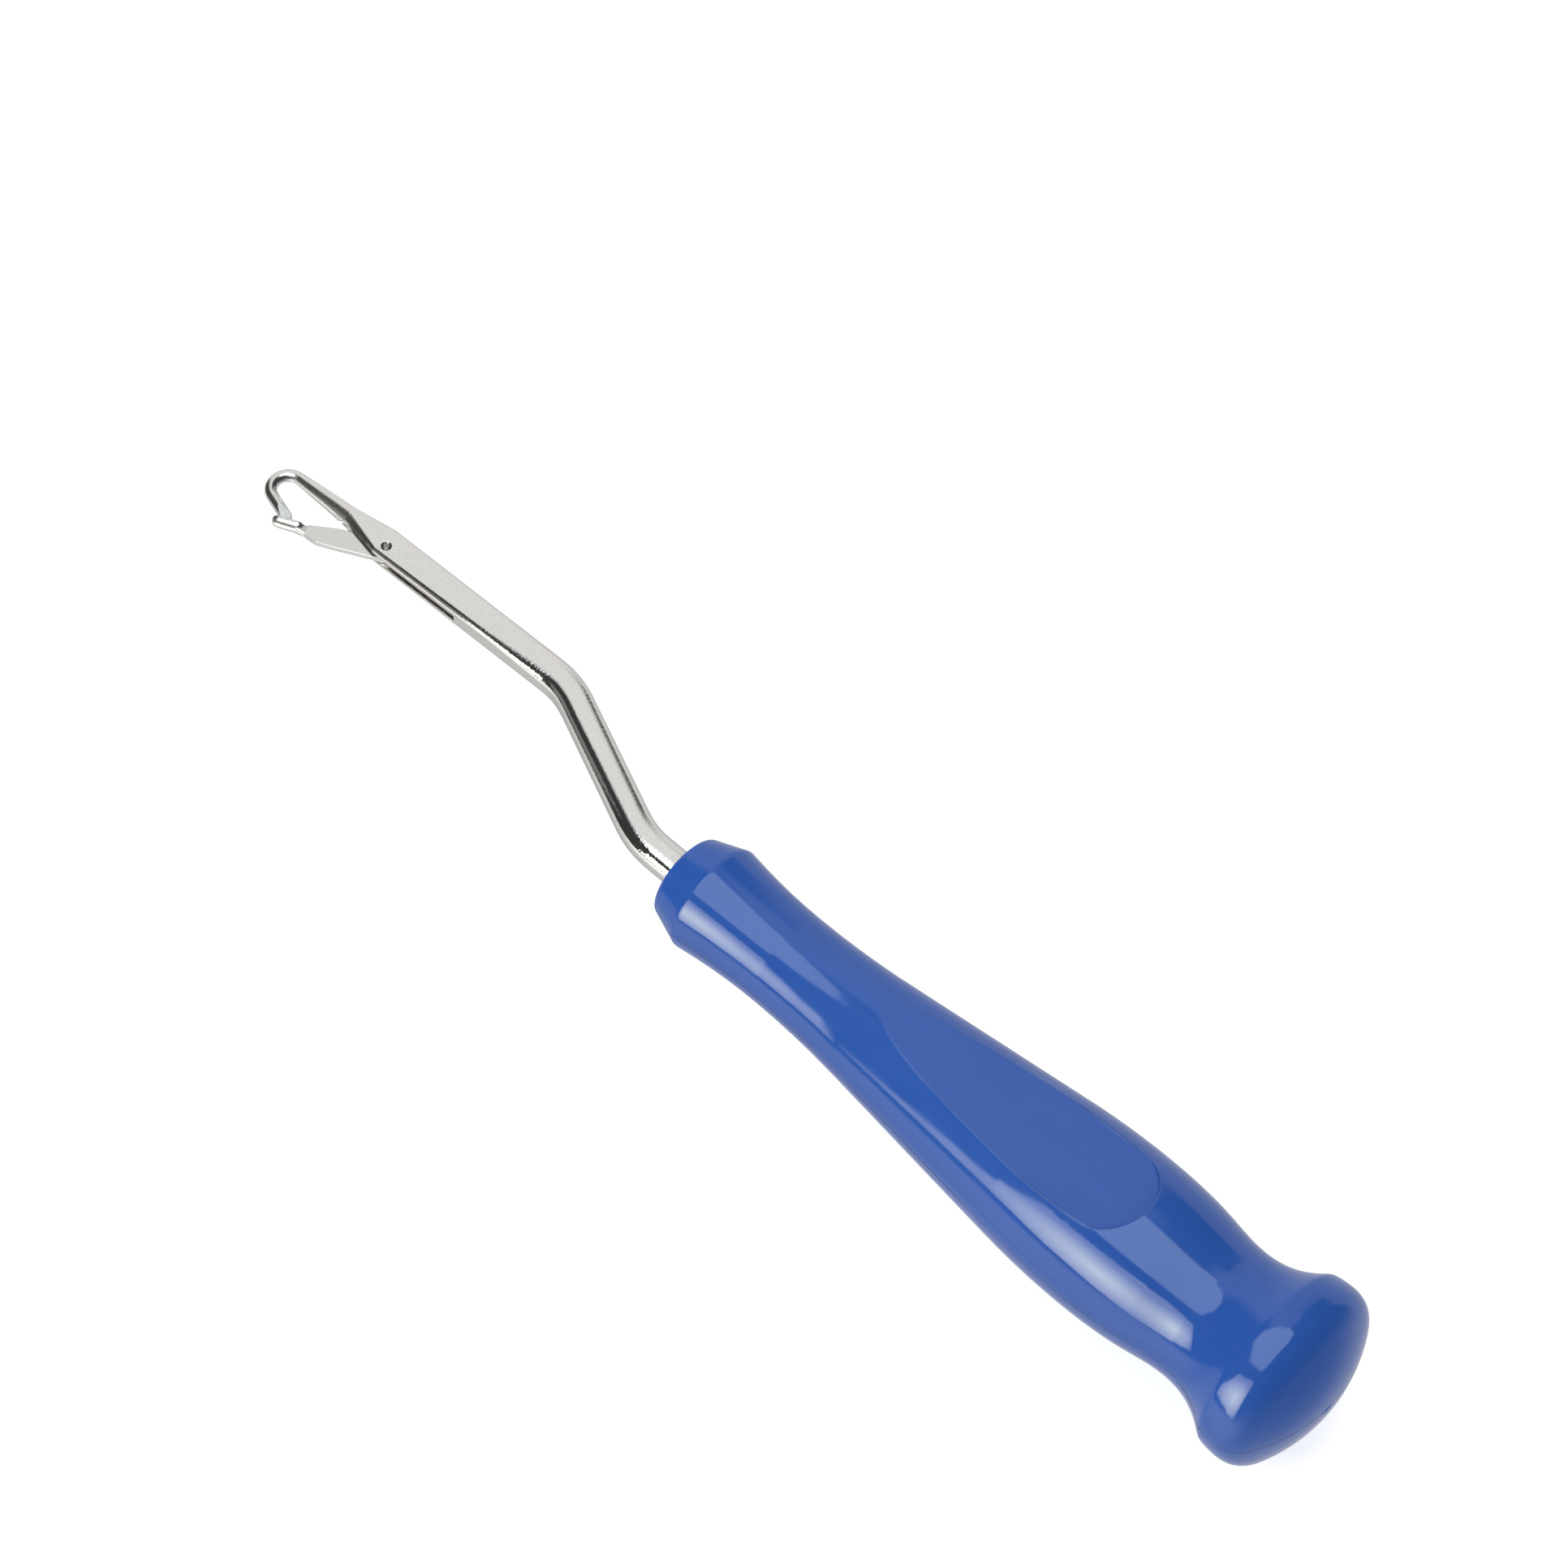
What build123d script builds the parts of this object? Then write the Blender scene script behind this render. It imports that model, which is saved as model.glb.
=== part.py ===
from build123d import *
import os
from math import asin, atan2, degrees, radians, sqrt, tan

# Latch hook tool, in millimetres.
# It is drawn with x = 0 on the front face of the handle's collar, +X along the handle towards
# its butt, +Y towards the side that the shank is bent to, and +Z square to the bends.
# At the end every piece moves to the part's origin, the middle of the foot of its box.

# Handle: lengths of its stretches, and radii of the round body at their ends
collar_length = 4.4
collar_bevel = 1.6
collar_rim_radius = 6.75
waist_run = 11.6
waist_radius = 5.87
belly_run = 47.8
belly_radius = 9.82
neck_run = 14.8
neck_radius = 8.52
flare_run = 7.4
knob_lip_run = 2.3
knob_lip_drop = 0.26
knob_radius = 11.56
knob_rim_radius = 4.1
dome_radius = 19.1

# Handle: the straight taper and the shoulder, as shares of the stretches that they lie in
taper_start_run_share = 0.26
taper_start_rise_share = 0.17
taper_end_run_share = 0.775
taper_end_rise_share = 0.85
shoulder_run_share = 0.635
shoulder_drop_share = 0.49
shoulder_slope = 9.3
flare_slope = 38.0

# Handle: how far the rounding of each corner runs along the sides that meet there
collar_face_rounding = 0.5
collar_rim_rounding = 0.3
knob_lip_rounding = 0.3

# Handle: the scooped teardrop panel on each flat side
panel_tip_run = 1.1
panel_length = 38.5
panel_end_depth = 1.2
panel_dip = 0.47
panel_width = 11.1

# Shank: an all but round rod, bent twice in one plane and pressed flatter towards the hook.
# Its sections are given for the tang and stub, the upper bend, a place along the outer stretch,
# and that stretch's end, where the drawing down starts.
rod_width = 4.2
rod_thickness = 3.9
rod_rounding = 1.6
bend_width = 4.05
bend_thickness = 3.8
bend_rounding = 1.3
press_run_share = 0.31
press_width = 3.85
press_thickness = 3.3
press_rounding = 0.7
shank_width = 4.0
shank_thickness = 2.7
shank_rounding = 0.5
stub_length = 6.8
bend_angle = 23.3
overbend_angle = 1.56
bend_offset = 8.7
bend_radius = 12.0

# Tang: the shank's end inside the handle, notched so that the plastic locks it
tang_length = 46.0
tang_notch_radius = 0.7
tang_notch_first = 12.0
tang_notch_pitch = 14.0
tang_notch_rows = 3

# Hook: the end of the shank, drawn down to round wire and curled back
shoulder_reach = 29.3
draw_length = 13.9
wire_diameter = 1.5
hook_bend_radius = 2.0
hook_rise = 0.1
hook_turn = 162.4
hook_tip_length = 4.0
tip_bevel_length = 2.3
tip_thickness = 0.6

# Hook: sections of the drawn-down stretch, whose lower side is drawn rounder than its upper one.
# Each has its run, width and thickness as shares of draw_length, shank_width and shank_thickness,
# and its upper and lower corner roundings as shares of half its own thickness.
draw_section_shares = ((0.40, 0.535, 0.96, 0.27, 0.88), (0.68, 0.44, 0.78, 0.33, 0.87))
wire_rounding_share = 0.48

# Slot and rivet that hold the latch
rivet_setback = 0.9
rivet_drop = 0.55
rivet_diameter = 1.0
rivet_crown_rounding = 0.2
countersink_depth = 0.14
slot_side_clearance = 0.1
slot_floor_clearance = 0.2
cutter_radius = 11.0
slot_back_run = 4.7
slot_front_run = 1.7

# Latch: a flat blade with an eye at one end and a hollow spoon at the other, which when closed
# reaches past the rounded nose of the hook's tip and lets it dip below the spoon's rim
spoon_lap = 1.33
nose_dip = 0.01
latch_thickness = 0.75
latch_running_clearance = 0.05
eye_radius = 1.25
blade_upper = 1.2
blade_lower = 1.5
neck_upper = 0.5
neck_lower = 0.95
spoon_width = 1.8
spoon_wall = 0.3
spoon_axis_height = 0.2
spoon_rim_height = 0.1

# Latch: places along it, as shares of its length
blade_upper_share = 0.43
blade_lower_start_share = 0.45
blade_lower_end_share = 0.58
neck_share = 0.69
spoon_start_share = 0.78

# Latch: the neck's end inside the spoon, as shares of the spoon's width
neck_end_width_share = 0.66
neck_end_rounding_share = 0.16

overrun = 2.0


# Places that several pieces share
waist_station = collar_length + waist_run
belly_station = waist_station + belly_run
neck_station = belly_station + neck_run
flare_station = neck_station + flare_run
knob_station = flare_station + knob_lip_run
knob_rim_centre_radius = knob_radius - knob_rim_radius
dome_station = knob_station - sqrt((dome_radius - knob_rim_radius) ** 2 - knob_rim_centre_radius ** 2)
handle_length = dome_station + dome_radius
body_rise = belly_radius - waist_radius
taper_start = Vector(waist_station + taper_start_run_share * belly_run,
                     waist_radius + taper_start_rise_share * body_rise)
taper_end = Vector(waist_station + taper_end_run_share * belly_run,
                   waist_radius + taper_end_rise_share * body_rise)

lower_bend = Vector(-stub_length, 0)
upper_bend = Vector(-stub_length - bend_offset / tan(radians(bend_angle)), bend_offset)
reach_direction = Vector(-1, 0).rotate(Axis.Z, overbend_angle)
hook_plane = Plane(origin=upper_bend, x_dir=reach_direction, z_dir=(0, 0, -1))
hook_start = shoulder_reach + draw_length
hook_heading = Vector(1, 0).rotate(Axis.Z, -hook_turn)
curl_centre = Vector(hook_start, hook_rise - hook_bend_radius)
leg_start = curl_centre + Vector(0, hook_bend_radius).rotate(Axis.Z, -hook_turn)
nose_reach = hook_tip_length - wire_diameter / 2
nose_centre = leg_start + hook_heading * nose_reach
slot_width = latch_thickness + 2 * slot_side_clearance
latch_bore_radius = rivet_diameter / 2 + latch_running_clearance

rivet_place = Vector(shoulder_reach - rivet_setback, -rivet_drop)
rivet_centre = hook_plane.from_local_coords(rivet_place)
rivet_to_nose = nose_centre - rivet_place
nose_height = spoon_axis_height + spoon_rim_height + wire_diameter / 2 - nose_dip
latch_angle = degrees(asin(nose_height / rivet_to_nose.length) - atan2(rivet_to_nose.Y, rivet_to_nose.X))
latch_length = sqrt(rivet_to_nose.length ** 2 - nose_height ** 2) + spoon_lap
latch_direction = reach_direction.rotate(Axis.Z, latch_angle)
latch_plane = Plane(origin=rivet_centre, x_dir=latch_direction, z_dir=(0, 0, -1))

hook_front = hook_plane.from_local_coords(curl_centre).X - hook_bend_radius - wire_diameter / 2
part_origin = Vector((handle_length + hook_front) / 2, 0, -knob_radius)


def handle_outline():
    """Half section of the handle, in the plane of X and Y."""
    level = Vector(1, 0)
    collar_edge = Vector(0, collar_rim_radius - collar_bevel)
    collar_rim = Vector(collar_length, collar_rim_radius)
    waist = Vector(waist_station, waist_radius)
    belly = Vector(belly_station, belly_radius)
    shoulder = Vector(belly_station + shoulder_run_share * neck_run,
                      belly_radius - shoulder_drop_share * (belly_radius - neck_radius))
    neck = Vector(neck_station, neck_radius)
    knob_lip = Vector(flare_station, knob_radius - knob_lip_drop)
    knob_top = Vector(knob_station, knob_radius)
    dome_centre = Vector(dome_station, 0)
    rim_reach = Vector(knob_station, knob_rim_centre_radius) - dome_centre
    rim_end = dome_centre + rim_reach.normalized() * dome_radius
    butt = Vector(handle_length, 0)

    face_direction = Vector(0, 1)
    bevel_direction = (collar_rim - collar_edge).normalized()
    waist_direction = Vector(waist_run, 2 * (waist_radius - collar_rim_radius)).normalized()
    taper_direction = (taper_end - taper_start).normalized()
    shoulder_direction = level.rotate(Axis.Z, -shoulder_slope)
    flare_direction = level.rotate(Axis.Z, flare_slope)
    lip_direction = Vector(knob_lip_run, 2 * knob_lip_drop).normalized()
    rim_direction = rim_reach.rotate(Axis.Z, -90)

    face_end = collar_edge - face_direction * collar_face_rounding
    bevel_start = collar_edge + bevel_direction * collar_face_rounding
    bevel_end = collar_rim - bevel_direction * collar_rim_rounding
    waist_start = collar_rim + waist_direction * collar_rim_rounding
    flare_end = knob_lip - flare_direction * knob_lip_rounding
    lip_start = knob_lip + lip_direction * knob_lip_rounding
    return make_face(Wire([
        Line((0, 0), face_end),
        Bezier(face_end, collar_edge, bevel_start),
        Line(bevel_start, bevel_end),
        Bezier(bevel_end, collar_rim, waist_start),
        Spline(waist_start, waist, tangents=[waist_direction, level]),
        Spline(waist, taper_start, tangents=[level, taper_direction]),
        Line(taper_start, taper_end),
        Spline(taper_end, belly, tangents=[taper_direction, level]),
        Spline(belly, shoulder, tangents=[level, shoulder_direction]),
        Spline(shoulder, neck, tangents=[shoulder_direction, level]),
        Spline(neck, flare_end, tangents=[level, flare_direction]),
        Bezier(flare_end, knob_lip, lip_start),
        Spline(lip_start, knob_top, tangents=[lip_direction, level]),
        Spline(knob_top, rim_end, tangents=[level, rim_direction]),
        TangentArc(butt, rim_end, tangent=face_direction),
        Line(butt, (0, 0)),
    ]))


def panel_cutter():
    """Shape that scoops one teardrop panel: its floor dips along the handle and is flat across."""
    tip_station = taper_start.X + panel_tip_run
    end_station = tip_station + panel_length
    slope = (taper_end.Y - taper_start.Y) / (taper_end.X - taper_start.X)
    tip_height = taper_start.Y + slope * panel_tip_run
    end_height = belly_radius - panel_end_depth
    top_height = belly_radius + overrun
    middle = Vector((tip_station + end_station) / 2, (tip_height + end_height) / 2 - panel_dip)
    side = make_face(Wire([
        ThreePointArc((tip_station, tip_height), middle, (end_station, end_height)),
        Line((end_station, end_height), (end_station, top_height)),
        Line((end_station, top_height), (tip_station, top_height)),
        Line((tip_station, top_height), (tip_station, tip_height)),
    ]))
    side = Plane.XZ * side
    scoop = extrude(side, panel_width, both=True)
    round_centre = end_station - panel_width / 2
    half_width = panel_width / 2
    plan = make_face(Wire([
        Line((tip_station, half_width), (round_centre, half_width)),
        ThreePointArc((round_centre, half_width), (end_station, 0), (round_centre, -half_width)),
        Line((round_centre, -half_width), (tip_station, -half_width)),
        Line((tip_station, -half_width), (tip_station, half_width)),
    ]))
    return scoop & extrude(plan, top_height)


def rod_section(line, share, width, thickness, rounding):
    """Section of the rod, square to a line: its width lies in the plane of the bends."""
    plane = Plane(origin=line @ share, x_dir=(0, 0, 1), z_dir=line % share)
    return plane * RectangleRounded(thickness, width, rounding)


def bent_bar():
    """Tang, stub, middle stretch and outer stretch, up to where the drawing down starts."""
    outer_end = hook_plane.from_local_coords(Vector(shoulder_reach, 0))
    path = FilletPolyline((tang_length, 0), lower_bend, upper_bend, outer_end, radius=bend_radius)
    tang, lower_arc, middle, upper_arc, outer = path.edges()
    rod = (rod_width, rod_thickness, rod_rounding)
    bend = (bend_width, bend_thickness, bend_rounding)
    bar = sweep(rod_section(tang, 0, *rod), path=Wire([tang, lower_arc]))
    bar += loft([rod_section(middle, 0, *rod), rod_section(middle, 1, *bend)], ruled=True)
    bar += sweep(rod_section(upper_arc, 0, *bend), path=upper_arc)
    bar += loft([
        rod_section(outer, 0, *bend),
        rod_section(outer, press_run_share, press_width, press_thickness, press_rounding),
        rod_section(outer, 1, shank_width, shank_thickness, shank_rounding),
    ], ruled=True)
    for row in range(tang_notch_rows):
        station = tang_notch_first + row * tang_notch_pitch
        for side in (-1, 1):
            place = Pos(station, side * rod_width / 2, 0)
            bar -= place * Cylinder(tang_notch_radius, rod_thickness + overrun)
    return bar


def drawn_section(run_share, width, thickness, upper_rounding, lower_rounding):
    """One section of the drawn-down stretch, square to the outer stretch: its local X points up."""
    section = Rectangle(width, thickness)
    section = fillet(section.vertices().sort_by(Axis.X)[2:], upper_rounding)
    section = fillet(section.vertices().sort_by(Axis.X)[:2], lower_rounding)
    place = Vector(shoulder_reach + run_share * draw_length, run_share * hook_rise)
    plane = Plane(origin=hook_plane.from_local_coords(place), x_dir=hook_plane.y_dir, z_dir=reach_direction)
    return plane * section


def wire_section(plane):
    """Section of the hook's wire, which is all but round."""
    return plane * RectangleRounded(wire_diameter, wire_diameter, wire_rounding_share * wire_diameter)


def drawn_stretch():
    """The bar from its full section down to the wire."""
    sections = [drawn_section(0, shank_width, shank_thickness, shank_rounding, shank_rounding)]
    for run_share, width_share, thickness_share, upper_share, lower_share in draw_section_shares:
        thickness = thickness_share * shank_thickness
        sections.append(drawn_section(run_share, width_share * shank_width, thickness,
                                      upper_share * thickness / 2, lower_share * thickness / 2))
    wire_rounding = wire_rounding_share * wire_diameter
    sections.append(drawn_section(1, wire_diameter, wire_diameter, wire_rounding, wire_rounding))
    return loft(sections, ruled=True)


def slot_cutter():
    """What a disc cutter sweeps as it opens the slot from below, before the hook is curled."""
    floor = eye_radius - rivet_drop + slot_floor_clearance
    back = rivet_place.X - slot_back_run
    front = rivet_place.X + slot_front_run
    outline = Pos((back + front) / 2, floor - cutter_radius) * SlotCenterToCenter(
        front - back, 2 * cutter_radius)
    return extrude(hook_plane * outline, slot_width / 2, both=True)


def hook_wire():
    """The curl and its straight leg, whose end is bevelled to sit in the latch's spoon."""
    curl = JernArc((hook_start, hook_rise), tangent=(1, 0), radius=hook_bend_radius, arc_size=-hook_turn)
    start = Plane(origin=hook_plane.from_local_coords(Vector(hook_start, hook_rise)),
                  x_dir=hook_plane.y_dir, z_dir=reach_direction)
    bent = sweep(wire_section(start), path=hook_plane * curl)
    leg_place = hook_plane.from_local_coords(leg_start)
    leg_direction = (hook_plane * curl) % 1
    leg_end_plane = Plane(origin=leg_place, x_dir=(0, 0, 1), z_dir=leg_direction)
    leg = extrude(wire_section(leg_end_plane), hook_tip_length)
    side_plane = Plane(origin=leg_place, x_dir=leg_direction, z_dir=(0, 0, 1))
    side = Pos(nose_reach / 2, 0) * SlotCenterToCenter(nose_reach, wire_diameter)
    side += Rectangle(wire_diameter, wire_diameter)
    leg &= extrude(side_plane * side, wire_diameter, both=True)
    edge_plane = Plane(origin=leg_place, x_dir=leg_direction, z_dir=leg_direction.cross(Vector(0, 0, 1)))
    bevel_start = hook_tip_length - tip_bevel_length
    half = wire_diameter / 2
    wedge = make_face(Polyline(
        (-half, half), (bevel_start, half), (hook_tip_length, tip_thickness / 2),
        (hook_tip_length, -tip_thickness / 2), (bevel_start, -half), (-half, -half), close=True))
    leg &= extrude(edge_plane * wedge, wire_diameter, both=True)
    return bent + leg


def rivet_hole():
    """Hole through both cheeks, with a small countersink in each."""
    bore_radius = rivet_diameter / 2
    mouth_radius = bore_radius + countersink_depth
    hole = Cylinder(bore_radius, shank_thickness)
    countersink = Pos(0, 0, (shank_thickness - countersink_depth) / 2) * Cone(
        bore_radius, mouth_radius, countersink_depth)
    countersink += Pos(0, 0, (shank_thickness + overrun) / 2) * Cylinder(mouth_radius, overrun)
    return Pos(rivet_centre) * (hole + countersink + mirror(countersink, Plane.XY))


def make_hook_shank():
    """The whole steel bar: tang, bends, slotted end and hook, with the rivet's hole."""
    shank = bent_bar() + drawn_stretch() - slot_cutter() - rivet_hole()
    return shank + hook_wire()


def make_handle(shank):
    """The handle, moulded round the tang."""
    body = revolve(handle_outline(), Axis.X)
    cutter = panel_cutter()
    body -= cutter
    body -= mirror(cutter, Plane.XY)
    return body - shank


def make_rivet():
    """Pin with crowned ends, which stand in the countersinks level with the cheeks."""
    pin = Cylinder(rivet_diameter / 2, shank_thickness)
    ends = pin.edges().filter_by(GeomType.CIRCLE)
    return Pos(rivet_centre) * fillet(ends, rivet_crown_rounding)


def spoon_capsule(radius, start, end):
    """Round-ended bar along the latch, for the outside or the hollow of the spoon."""
    axis = Plane(origin=latch_plane.from_local_coords(Vector(start, spoon_axis_height)),
                 z_dir=latch_direction)
    capsule = extrude(axis * Circle(radius), end - start)
    for run in (start, end):
        capsule += Pos(latch_plane.from_local_coords(Vector(run, spoon_axis_height))) * Sphere(radius)
    return capsule


def latch_section(run, low, high, thickness, rounding):
    """Section of the latch's neck, square to the latch."""
    middle = latch_plane.from_local_coords(Vector(run, (low + high) / 2))
    plane = Plane(origin=middle, x_dir=latch_plane.y_dir, z_dir=latch_direction)
    return plane * RectangleRounded(high - low, thickness, rounding)


def make_latch():
    """The latch, closed: its spoon lies under the hook's tip."""
    neck_run = neck_share * latch_length
    spoon_start = spoon_start_share * latch_length
    spoon_end = latch_length - spoon_width / 2
    blade = make_face(Polyline(
        (0, eye_radius),
        (blade_upper_share * latch_length, blade_upper),
        (neck_run, neck_upper),
        (neck_run, -neck_lower),
        (blade_lower_end_share * latch_length, -blade_lower),
        (blade_lower_start_share * latch_length, -blade_lower),
        (0, -eye_radius),
        close=True))
    latch = extrude(latch_plane * (blade + Circle(eye_radius)), latch_thickness / 2, both=True)
    rim = spoon_axis_height + spoon_rim_height
    spoon_bottom = spoon_axis_height - spoon_width / 2
    neck_end_width = neck_end_width_share * spoon_width
    neck_rounding = neck_end_rounding_share * spoon_width
    neck = loft([
        latch_section(neck_run, -neck_lower, neck_upper, latch_thickness, neck_rounding),
        latch_section(spoon_start, spoon_bottom, rim, neck_end_width, neck_rounding),
    ], ruled=True)
    spoon = spoon_capsule(spoon_width / 2, spoon_start, spoon_end)
    above = Plane(origin=latch_plane.from_local_coords(Vector(0, rim)), x_dir=latch_direction,
                  z_dir=latch_plane.y_dir)
    spoon -= extrude(above * Rectangle(4 * latch_length, 4 * spoon_width), spoon_width)
    latch = latch + neck + spoon
    latch -= spoon_capsule(spoon_width / 2 - spoon_wall, spoon_start, spoon_end)
    return latch - Pos(rivet_centre) * Cylinder(latch_bore_radius, latch_thickness + overrun)


def main():
    os.makedirs("parts", exist_ok=True)
    shank = make_hook_shank()
    pieces = {
        "handle": make_handle(shank),
        "hook_shank": shank,
        "latch": make_latch(),
        "rivet": make_rivet(),
    }
    for name, piece in pieces.items():
        placed = Pos(-part_origin) * piece
        export_step(placed, os.path.join("parts", name + ".step"))


main()
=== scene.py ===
"""The looks of a cranked latch hook with a moulded handle, lit on a pale floor. Lengths are in metres."""

import bmesh
import bpy
from mathutils import Matrix, Vector


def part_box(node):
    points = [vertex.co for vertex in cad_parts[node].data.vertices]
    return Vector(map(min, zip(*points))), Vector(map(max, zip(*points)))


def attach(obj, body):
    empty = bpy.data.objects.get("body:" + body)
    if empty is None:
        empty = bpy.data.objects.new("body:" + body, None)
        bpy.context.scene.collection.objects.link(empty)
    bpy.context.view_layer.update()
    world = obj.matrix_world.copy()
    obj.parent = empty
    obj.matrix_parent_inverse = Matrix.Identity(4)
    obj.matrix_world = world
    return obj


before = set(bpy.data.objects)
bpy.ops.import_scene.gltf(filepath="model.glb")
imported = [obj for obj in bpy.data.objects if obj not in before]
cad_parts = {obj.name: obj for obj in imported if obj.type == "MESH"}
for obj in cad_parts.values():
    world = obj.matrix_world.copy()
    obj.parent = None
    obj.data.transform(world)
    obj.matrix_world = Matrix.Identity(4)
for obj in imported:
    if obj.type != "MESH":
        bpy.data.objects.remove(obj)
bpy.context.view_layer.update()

mm = 0.001
white = (1.0, 1.0, 1.0, 1.0)
handle_low, handle_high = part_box("handle")
mid_height = (handle_low.z + handle_high.z) / 2

# Camera: where it stands, the point it looks at, which way is up in its picture, and its lens
camera_place = Vector((206.3, -224.0, 522.7)) * mm
camera_aim = Vector((-11.17, 16.46, 11.56)) * mm
camera_up = Vector((-0.588, 0.606, 0.535))
camera_lens = 122.98
sensor_width = 36.0
nearest_seen = 10 * mm

# Softboxes that only polished surfaces see, as slopes from a point between the handle's waist and belly
softbox_centre = Vector((14.0 * mm, 0.0, mid_height))
side_softbox = {
    "distance": 0.9,
    "slopes": [(-0.55, -0.06), (0.14, -0.21), (0.21, -0.14), (0.22, 0.68), (0.10, 0.78), (-0.43, 0.66)],
    "hot_slope": (-0.11, 0.20),
    "tints": ((1.0, 1.0, 0.66, 1.0), (1.0, 0.99, 0.9, 1.0)),
    "strengths": (12.0, 3.2),
    "falloff": 0.38,
}
top_softbox = {
    "distance": 0.65,
    "slopes": [(-0.12, 0.29), (-0.40, 0.11), (-0.52, -0.08), (-0.58, -0.38), (-0.42, -0.82), (0.17, -0.82),
               (0.27, -0.68), (0.27, 0.05), (0.17, 0.24)],
    "tint": (0.86, 0.97, 1.0, 1.0),
    "strength": 2.7,
}

# Surroundings in reflections: how bright the dim room, the floor's paper and the pale wall look
room_glow = 0.035
paper_glow = 0.62
lit_paper_glow = 1.3
far_paper_glow = 0.3
wall_glow = 0.74

# Where the surroundings change, by a reflection's direction: a span is where a change starts and ends
behind_y_span = (0.0, 0.35)
behind_x_span = (0.4, 0.05)
paper_edge_heights = (-0.21, 0.30)
softening_span = (0.0, 0.5)
edge_softness = (0.06, 0.40)
lit_paper_span = (-0.6, -0.9)
far_paper_span = (0.35, 0.90)
wall_y_span = (0.10, 0.34)
wall_x_span = (-0.29, -0.55)
wall_lean = 0.2

# The wall's spot that the shank's flats mirror
spot_direction = (-0.39, 0.37, 0.84)
spot_span = (0.38, 0.19)

# Screens that hide parts of the softboxes from the outer shank and hook: two opposite corners and a glow
screens = {
    "screen": (Vector((-0.15, -0.23, 0.062)), Vector((-0.15, 0.02, 0.28)), room_glow),
    "front_screen": (Vector((-0.101, -0.03, 0.011)), Vector((-0.066, -0.03, 0.046)), 0.19),
}

# Lamps that light the surfaces: place, watts and size
lamps = {
    "side_lamp": (Vector((-0.45, -0.70, 0.60)), 3.4, 0.7),
    "top_lamp": (Vector((-0.20, 0.10, 0.95)), 2.8, 0.8),
}
sky_light = 0.62

# Floor: half its width, its colour, and its glow to other rays and to the camera
floor_half_width = 0.9
floor_colour = (0.9, 0.9, 0.9, 1.0)
floor_glows = (0.25, 0.6)

# Handle's plastic: its shades, how many features a metre holds, and its finish
plastic_shades = ((0.0215, 0.085, 0.360, 1.0), (0.0265, 0.096, 0.385, 1.0))
flow_marks_a_metre = 60
flow_stretch = (0.35, 1.0, 1.0)
flow_span = (0.35, 0.65)
smudges_a_metre = 220
smudge_span = (0.35, 0.7)
plastic_roughness = (0.075, 0.12)
plastic_ior = 1.5
plastic_edge_radius = 0.35 * mm
waves_a_metre = 180
wave_stretch = (0.45, 1.0, 1.0)
wave_height = 0.03 * mm

# Steel of each node: material, light and dark shade, roughness of its flats and of its rounded sides
steels = {
    "hook_shank": ("plated_steel", (0.96, 0.935, 0.905, 1.0), (0.87, 0.845, 0.815, 1.0), 0.21, 0.08),
    "latch": ("latch_steel", (0.91, 0.89, 0.865, 1.0), (0.82, 0.80, 0.775, 1.0), 0.22, 0.30),
    "rivet": ("rivet_steel", (0.42, 0.40, 0.37, 1.0), (0.28, 0.26, 0.24, 1.0), 0.3, 0.2),
}
flat_span = (0.93, 0.99)
grains_a_metre = 5200
patches_a_metre = 500
grain_span = (0.3, 0.7)
patch_spread = (-0.02, 0.02)
ripples_a_metre = 2600
ripple_height = 0.018 * mm
steel_edge_radius = 0.10 * mm

# Towards the hook's fine end the steel's ripples grow calmer and its sides rougher: a span along X
hook_end_span = (-0.074, -0.060)
calm_share = 0.3
hook_roughness = 0.2

# Painted shade, together with polish left in them, darkens the steel's narrow hollows: an occlusion mask's
# reach and span, and the shade's colour
hollow_reach = 0.6 * mm
hollow_span = (0.35, 0.75)
hollow_shade_colour = (0.10, 0.095, 0.09, 1.0)

# Painted shade: the plate is painted greyer where it turns away from the eye, a dark rim along its outline
rim_span = (0.55, 0.92)
rim_shade_colour = (0.40, 0.39, 0.38, 1.0)

# Parting line of the handle: a thin ridge round it in its middle plane, clear of the shank
parting_width = 0.28 * mm
parting_height = 0.012 * mm
parting_root = 0.010 * mm
parting_gap_radius = 2.6 * mm
cut_tolerance = 0.0001 * mm

# Places of the colour sockets on a Mix node, whose names its number sockets share
first_colour_socket = 6
second_colour_socket = 7
mixed_colour_socket = 2


def add(tree, kind, inputs=None, **settings):
    """Adds a shader node, sets its fields, and sets or links its inputs."""
    node = tree.nodes.new(kind)
    for field, value in settings.items():
        setattr(node, field, value)
    for name, value in (inputs or {}).items():
        if isinstance(value, bpy.types.NodeSocket):
            tree.links.new(value, node.inputs[name])
        else:
            node.inputs[name].default_value = value
    return node


def new_material(name):
    """A new material with an empty node tree."""
    material = bpy.data.materials.new(name)
    material.use_nodes = True
    material.node_tree.nodes.clear()
    return material, material.node_tree


def scaled_noise(tree, place, scale, detail, stretch=(1.0, 1.0, 1.0)):
    """Noise of a given number of features a metre, stretched along the axes."""
    mapping = add(tree, "ShaderNodeMapping", {"Vector": place, "Scale": stretch})
    return add(tree, "ShaderNodeTexNoise",
               {"Vector": mapping.outputs["Vector"], "Scale": scale, "Detail": detail}).outputs["Fac"]


def ranged(tree, value, span, results=(0.0, 1.0), smooth=False):
    """Maps a value from a span to its results, clamped."""
    inputs = {"Value": value}
    inputs["From Min"], inputs["From Max"] = span
    inputs["To Min"], inputs["To Max"] = results
    kind = "SMOOTHSTEP" if smooth else "LINEAR"
    return add(tree, "ShaderNodeMapRange", inputs, interpolation_type=kind).outputs["Result"]


def reckoned(tree, operation, first, second=0.0):
    """One step of arithmetic on numbers."""
    return add(tree, "ShaderNodeMath", {0: first, 1: second}, operation=operation).outputs["Value"]


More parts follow.
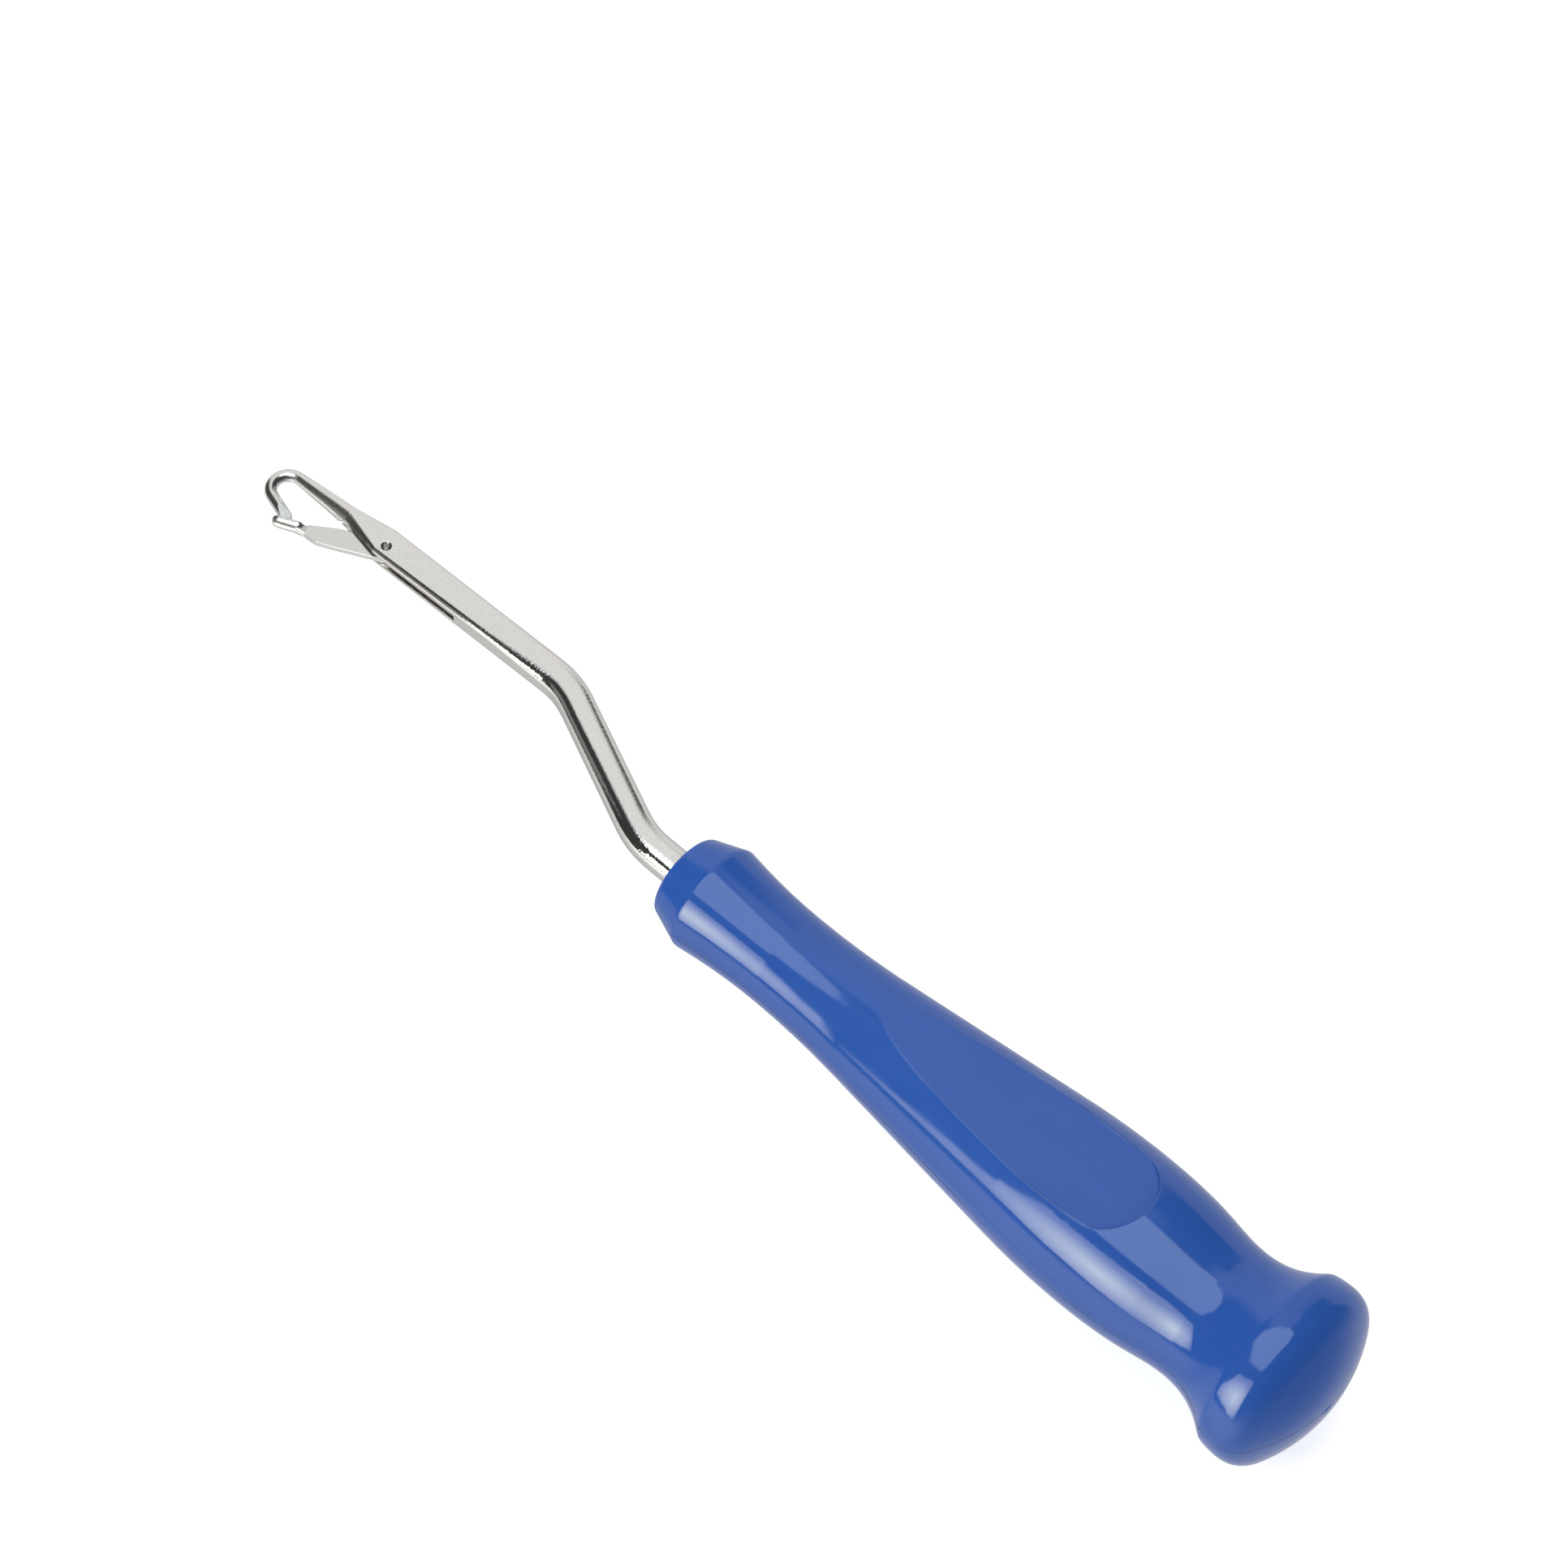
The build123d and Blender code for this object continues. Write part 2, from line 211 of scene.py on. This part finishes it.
def distance_between(tree, first, second):
    """How far apart two vectors are."""
    return add(tree, "ShaderNodeVectorMath", {0: first, 1: second}, operation="DISTANCE").outputs["Value"]


def part_of(tree, vector, axis):
    """One part of a vector."""
    return add(tree, "ShaderNodeSeparateXYZ", {"Vector": vector}).outputs[axis]


def mixed(tree, share, first, second):
    """Mixes two colours by a share, through the node's own colour sockets."""
    inputs = {"Factor": share, first_colour_socket: first, second_colour_socket: second}
    return add(tree, "ShaderNodeMix", inputs, data_type="RGBA").outputs[mixed_colour_socket]


def mixed_number(tree, share, first, second):
    """Mixes two numbers by a share."""
    return add(tree, "ShaderNodeMix", {"Factor": share, "A": first, "B": second}).outputs["Result"]


def rounded_edges(tree, radius, samples):
    """A normal that rounds the edges off."""
    return add(tree, "ShaderNodeBevel", {"Radius": radius}, samples=samples).outputs["Normal"]


def bumped(tree, height, distance, normal, strength=1.0):
    """A bump of a height share over a real distance."""
    inputs = {"Height": height, "Distance": distance, "Normal": normal, "Strength": strength}
    return add(tree, "ShaderNodeBump", inputs).outputs["Normal"]


def finish_material(tree, inputs):
    """Ends a material with its surface shader."""
    shader = add(tree, "ShaderNodeBsdfPrincipled", inputs)
    add(tree, "ShaderNodeOutputMaterial", {"Surface": shader.outputs["BSDF"]})


def moulded_plastic():
    """Glossy blue moulded plastic, with faint flow marks, smudges and waves."""
    material, tree = new_material("handle_plastic")
    place = add(tree, "ShaderNodeTexCoord").outputs["Object"]
    flow = scaled_noise(tree, place, flow_marks_a_metre, detail=3, stretch=flow_stretch)
    colour = mixed(tree, ranged(tree, flow, flow_span), *plastic_shades)
    smudge = scaled_noise(tree, place, smudges_a_metre, detail=4)
    roughness = ranged(tree, smudge, smudge_span, plastic_roughness)
    waves = scaled_noise(tree, place, waves_a_metre, detail=1, stretch=wave_stretch)
    normal = bumped(tree, waves, wave_height, rounded_edges(tree, plastic_edge_radius, samples=8))
    looks = {"Base Color": colour, "Roughness": roughness, "IOR": plastic_ior, "Normal": normal}
    finish_material(tree, looks)
    return material


def steel_colour(tree, place, light, dark):
    """Finely mottled plate, with painted shade and polish in narrow hollows, and a painted grey rim where
    it turns away from the eye.
    """
    grain = scaled_noise(tree, place, grains_a_metre, detail=2)
    plate = mixed(tree, ranged(tree, grain, grain_span), dark, light)
    # Painted shade: an occlusion mask darkens the plate in narrow hollows, where polish is also left
    openness = add(tree, "ShaderNodeAmbientOcclusion", {"Distance": hollow_reach}, samples=8).outputs["AO"]
    plate = mixed(tree, ranged(tree, openness, hollow_span), hollow_shade_colour, plate)
    # Painted shade: a grey rim where the plate turns away from the eye
    turned_away = add(tree, "ShaderNodeLayerWeight", {"Blend": 0.5}).outputs["Facing"]
    return mixed(tree, ranged(tree, turned_away, rim_span), plate, rim_shade_colour)


def steel_roughness(tree, place, facing_up, along, flat_roughness, side_roughness):
    """One roughness on the flats and another on the rounded sides, both a little uneven."""
    flat = ranged(tree, reckoned(tree, "ABSOLUTE", facing_up), flat_span, smooth=True)
    at_hook = max(side_roughness, hook_roughness)
    side = ranged(tree, along, hook_end_span, (at_hook, side_roughness))
    patches = scaled_noise(tree, place, patches_a_metre, detail=3)
    spread = ranged(tree, patches, grain_span, patch_spread)
    return reckoned(tree, "ADD", mixed_number(tree, flat, side, flat_roughness), spread)


def plated_steel(name, light, dark, flat_roughness, side_roughness):
    """Plated steel with fine ripples, whose flats and rounded sides each have their own roughness."""
    material, tree = new_material(name)
    coordinates = add(tree, "ShaderNodeTexCoord").outputs
    place = coordinates["Object"]
    facing_up = part_of(tree, coordinates["Normal"], "Z")
    along = part_of(tree, place, "X")
    colour = steel_colour(tree, place, light, dark)
    roughness = steel_roughness(tree, place, facing_up, along, flat_roughness, side_roughness)
    ripples = scaled_noise(tree, place, ripples_a_metre, detail=3)
    calm = ranged(tree, along, hook_end_span, (calm_share, 1.0))
    edges = rounded_edges(tree, steel_edge_radius, samples=6)
    normal = bumped(tree, ripples, ripple_height, edges, strength=calm)
    looks = {"Base Color": colour, "Metallic": 1.0, "Roughness": roughness, "Normal": normal}
    finish_material(tree, looks)
    return material


def mesh_object(name, points, faces):
    """A new object in the scene with a mesh of points and faces."""
    mesh = bpy.data.meshes.new(name)
    mesh.from_pydata([tuple(point) for point in points], [], faces)
    mesh.update()
    thing = bpy.data.objects.new(name, mesh)
    bpy.context.scene.collection.objects.link(thing)
    return thing


def middle_outline(node):
    """Cuts a copy of a node's mesh in its middle plane and gives the cut's edges as pairs of points."""
    cut = bmesh.new()
    cut.from_mesh(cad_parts[node].data)
    parts = cut.verts[:] + cut.edges[:] + cut.faces[:]
    level = (0, 0, mid_height)
    found = bmesh.ops.bisect_plane(cut, geom=parts, dist=cut_tolerance, plane_co=level, plane_no=(0, 0, 1))
    edges = [part for part in found["geom_cut"] if isinstance(part, bmesh.types.BMEdge)]
    pairs = [(edge.verts[0].co.copy(), edge.verts[1].co.copy()) for edge in edges]
    cut.free()
    return pairs


def outward(start, end, centre):
    """Direction square to an edge of the outline, pointing away from the handle's middle."""
    run = end - start
    normal = Vector((run.y, -run.x, 0)).normalized()
    return normal if normal.dot((start + end) / 2 - centre) > 0 else -normal


def outward_at_points(pairs):
    """Sum of the outward directions of the edges that meet at each point of the outline."""
    centre = (handle_low + handle_high) / 2
    directions = {}
    for start, end in pairs:
        away = outward(start, end, centre)
        for point in (start, end):
            directions[tuple(point)] = directions.get(tuple(point), Vector()) + away
    return directions


def ridge_section(point, away):
    """Crest and two roots of the parting line's ridge at a point. The crest stays in the handle's box."""
    half_width = Vector((0, 0, parting_width / 2))
    crest = point + away * parting_height
    crest.x = min(max(crest.x, handle_low.x), handle_high.x)
    crest.y = min(max(crest.y, handle_low.y), handle_high.y)
    root = point - away * parting_root
    return [crest, root + half_width, root - half_width]


def close_mesh(mesh):
    """Fills the open ends of a mesh and turns its faces outwards."""
    closed = bmesh.new()
    closed.from_mesh(mesh)
    bmesh.ops.holes_fill(closed, edges=closed.edges[:])
    bmesh.ops.recalc_face_normals(closed, faces=closed.faces[:])
    closed.to_mesh(mesh)
    closed.free()


def make_parting_line(material):
    """The thin ridge that the mould's two halves leave along the handle and over its butt."""
    tang_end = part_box("hook_shank")[1].x
    pairs = [(start, end) for start, end in middle_outline("handle")
             if max(abs(start.y), abs(end.y)) > parting_gap_radius or min(start.x, end.x) > tang_end]
    points = []
    first_of = {}
    for place, away in outward_at_points(pairs).items():
        first_of[place] = len(points)
        points += ridge_section(Vector(place), away.normalized())
    faces = []
    for start, end in pairs:
        near = first_of[tuple(start)]
        far = first_of[tuple(end)]
        for side in range(3):
            other = (side + 1) % 3
            faces.append((near + side, far + side, far + other, near + other))
    ridge = mesh_object("parting_line", points, faces)
    close_mesh(ridge.data)
    ridge.data.materials.append(material)
    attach(ridge, "handle_and_hook")


def make_card(name, corners, tint_and_strength):
    """A glowing flat shape that only reflections see. Its place sets its tint and strength."""
    card = mesh_object(name, corners, [tuple(range(len(corners)))])
    material, tree = new_material(name)
    place = add(tree, "ShaderNodeTexCoord").outputs["Object"]
    tint, strength = tint_and_strength(tree, place)
    glow = add(tree, "ShaderNodeEmission", {"Color": tint, "Strength": strength})
    add(tree, "ShaderNodeOutputMaterial", {"Surface": glow.outputs["Emission"]})
    card.data.materials.append(material)
    card.visible_camera = False
    card.visible_diffuse = False
    card.visible_shadow = False


def make_side_softbox():
    """The large softbox beside the tool, which glows most round its lamp."""
    reach = side_softbox["distance"]
    hot_x, hot_z = side_softbox["hot_slope"]
    hot = softbox_centre + Vector((hot_x, -1.0, hot_z)) * reach

    def tint_and_strength(tree, place):
        share = ranged(tree, distance_between(tree, place, hot), (0.0, side_softbox["falloff"]))
        tint = mixed(tree, share, *side_softbox["tints"])
        return tint, ranged(tree, share, (0.0, 1.0), side_softbox["strengths"])

    corners = [softbox_centre + Vector((x, -1.0, z)) * reach for x, z in side_softbox["slopes"]]
    make_card("side_softbox", corners, tint_and_strength)


def make_top_softbox():
    """The softbox above the tool, which glows evenly."""
    reach = top_softbox["distance"]
    corners = [softbox_centre + Vector((x, y, 1.0)) * reach for x, y in top_softbox["slopes"]]
    make_card("top_softbox", corners, lambda tree, place: (top_softbox["tint"], top_softbox["strength"]))


def make_screen(name, low, high, glow):
    """An upright screen between two opposite corners."""
    low_right = (high.x, high.y, low.z)
    high_left = (low.x, low.y, high.z)
    make_card(name, [low, low_right, high, high_left], lambda tree, place: (white, glow))


def make_lamps():
    """Round lamps that face the tool and that no reflection shows."""
    for name, (place, watts, size) in lamps.items():
        data = bpy.data.lights.new(name, "AREA")
        data.shape = "DISK"
        data.size = size
        data.energy = watts
        lamp = bpy.data.objects.new(name, data)
        lamp.location = place
        lamp.rotation_euler = (-place).to_track_quat("-Z", "Y").to_euler()
        lamp.visible_camera = False
        lamp.visible_glossy = False
        bpy.context.scene.collection.objects.link(lamp)


def paper_share(tree, parts):
    """How much of the floor's paper a reflection sees, below an edge that is higher behind the tool."""
    behind_y = ranged(tree, parts["Y"], behind_y_span, smooth=True)
    behind_x = ranged(tree, parts["X"], behind_x_span, smooth=True)
    behind = reckoned(tree, "MULTIPLY", behind_y, behind_x)
    edge = ranged(tree, behind, (0.0, 1.0), paper_edge_heights)
    softness = ranged(tree, parts["X"], softening_span, edge_softness)
    over_edge = reckoned(tree, "DIVIDE", reckoned(tree, "SUBTRACT", parts["Z"], edge), softness)
    return ranged(tree, over_edge, (1.0, -1.0), smooth=True)


def wall_share(tree, direction, parts):
    """How much of the pale wall a reflection sees: its far side, and the spot that the flats mirror."""
    wall_y = ranged(tree, parts["Y"], wall_y_span, smooth=True)
    across = reckoned(tree, "SUBTRACT", parts["X"], reckoned(tree, "MULTIPLY", parts["Y"], wall_lean))
    wall_x = ranged(tree, across, wall_x_span, smooth=True)
    spot = ranged(tree, distance_between(tree, direction, spot_direction), spot_span, smooth=True)
    return reckoned(tree, "MAXIMUM", reckoned(tree, "MULTIPLY", wall_y, wall_x), spot)


def make_world():
    """White to the camera, even light on surfaces, and in gloss a dim room with a pale wall and floor."""
    world = bpy.data.worlds.new("studio")
    bpy.context.scene.world = world
    world.use_nodes = True
    tree = world.node_tree
    tree.nodes.clear()
    direction = add(tree, "ShaderNodeTexCoord").outputs["Generated"]
    parts = add(tree, "ShaderNodeSeparateXYZ", {"Vector": direction}).outputs
    upper = mixed_number(tree, wall_share(tree, direction, parts), room_glow, wall_glow)
    lit_paper = ranged(tree, parts["Y"], lit_paper_span, (paper_glow, lit_paper_glow))
    far_paper = ranged(tree, parts["X"], far_paper_span, smooth=True)
    lower = mixed_number(tree, far_paper, lit_paper, far_paper_glow)
    seen_in_gloss = mixed_number(tree, paper_share(tree, parts), upper, lower)
    path = add(tree, "ShaderNodeLightPath").outputs
    glossy = mixed_number(tree, path["Is Glossy Ray"], sky_light, seen_in_gloss)
    seen = mixed_number(tree, path["Is Camera Ray"], glossy, 1.0)
    back = add(tree, "ShaderNodeBackground", {"Color": white, "Strength": seen})
    add(tree, "ShaderNodeOutputWorld", {"Surface": back.outputs["Background"]})


def make_floor():
    """A pale floor under the tool. It glows, most of all to the camera, which keeps the shadow pale."""
    half = floor_half_width
    corners = [(-half, -half, 0), (half, -half, 0), (half, half, 0), (-half, half, 0)]
    floor = mesh_object("floor", corners, [(0, 1, 2, 3)])
    material, tree = new_material("floor_paper")
    diffuse = add(tree, "ShaderNodeBsdfDiffuse", {"Color": floor_colour})
    path = add(tree, "ShaderNodeLightPath").outputs
    strength = ranged(tree, path["Is Camera Ray"], (0.0, 1.0), floor_glows)
    glow = add(tree, "ShaderNodeEmission", {"Color": white, "Strength": strength})
    both = add(tree, "ShaderNodeAddShader", {0: diffuse.outputs["BSDF"], 1: glow.outputs["Emission"]})
    add(tree, "ShaderNodeOutputMaterial", {"Surface": both.outputs["Shader"]})
    floor.data.materials.append(material)
    floor.visible_glossy = False


def make_camera():
    """The camera, which looks down along the tool from beyond its butt."""
    back = (camera_place - camera_aim).normalized()
    right = camera_up.cross(back).normalized()
    up = back.cross(right)
    camera = bpy.data.objects.new("camera", bpy.data.cameras.new("camera"))
    turn = Matrix((right, up, back)).transposed().to_4x4()
    camera.matrix_world = Matrix.Translation(camera_place) @ turn
    camera.data.lens = camera_lens
    camera.data.sensor_width = sensor_width
    camera.data.clip_start = nearest_seen
    bpy.context.scene.collection.objects.link(camera)
    bpy.context.scene.camera = camera


def dress(node, material):
    """Puts one material on a CAD node."""
    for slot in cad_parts[node].material_slots:
        slot.material = material


plastic = moulded_plastic()
dress("handle", plastic)
make_parting_line(plastic)
for node, steel in steels.items():
    dress(node, plated_steel(*steel))
make_side_softbox()
make_top_softbox()
for name, screen in screens.items():
    make_screen(name, *screen)
make_lamps()
make_world()
make_floor()
make_camera()
bpy.context.scene.view_settings.view_transform = "Standard"
